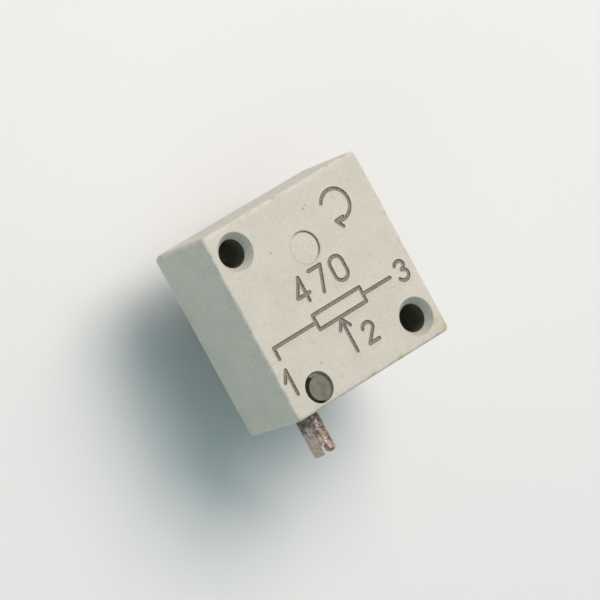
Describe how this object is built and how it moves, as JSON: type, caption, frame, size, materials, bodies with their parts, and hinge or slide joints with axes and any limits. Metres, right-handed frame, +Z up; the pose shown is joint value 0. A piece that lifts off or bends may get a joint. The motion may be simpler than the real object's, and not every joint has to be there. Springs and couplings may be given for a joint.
{
  "type": "worm-drive trimmer potentiometer",
  "caption": "Square wire-wound trimmer potentiometer: a screw in its side turns a worm wheel whose wiper sweeps a ring element, with round pins below and screw holes at opposite corners",
  "frame": {"origin": "centre of the seating face, midway between the two mounting holes and on the wiper's axis", "axes": "+Z up out of the marked face, along the mounting holes; +Y along the adjusting screw towards its inner end, so the screw leaves the housing towards -Y; +X to the right seen from above with the screw in front"},
  "size_m": [0.013, 0.0159, 0.0114],
  "materials": {
    "housing_plastic": "matt moulded thermoset, warm light grey",
    "base_plastic": "dark brown moulded phenolic",
    "compound": "cast epoxy, smooth, amber brown",
    "lock_metal": "dull grey-green oxidised pin",
    "steel": "turned steel",
    "screw_metal": "turned brass, plating worn and mottled",
    "seal_rubber": "black rubber",
    "wheel_plastic": "natural polyamide",
    "bronze": "rolled spring bronze",
    "contact_silver": "bright contact alloy",
    "brass": "punched brass",
    "copper": "drawn copper wire",
    "resistance_wire": "close turns of resistance wire",
    "tinned_wire": "tinned round wire"
  },
  "bodies": {
    "housing": {"housing": "housing_plastic", "base_plate": "base_plastic", "sealing_compound": "compound", "lock_pin": "lock_metal", "rotor_spindle": "steel", "collector_ring": "brass", "collector_lead": "copper", "element_core": "copper", "resistance_winding": "resistance_wire", "start_clamp": "brass", "end_clamp": "brass", "start_lead": "copper", "end_lead": "copper", "pin_1": "tinned_wire", "pin_2": "tinned_wire", "pin_3": "tinned_wire"},
    "screw": {"adjusting_screw": "screw_metal", "seal_ring": "seal_rubber"},
    "rotor": {"worm_wheel": "wheel_plastic", "wiper_spring": "bronze", "wiper_contact": "contact_silver", "collector_contact": "contact_silver"}
  },
  "joints": [
    {"name": "screw_turn", "type": "hinge", "parent": "housing", "child": "screw", "pos_m": [-0.00415, 0, 0.0034], "axis": [0, 1, 0], "range_deg": [-7200, 7200]},
    {"name": "rotor_turn", "type": "hinge", "parent": "housing", "child": "rotor", "pos_m": [0, 0, 0.0034], "axis": [0, 0, 1], "range_deg": [-150, 150]}
  ],
  "couplings": [
    {"joint": "rotor_turn", "follows": "screw_turn", "ratio": 0.020833}
  ]
}
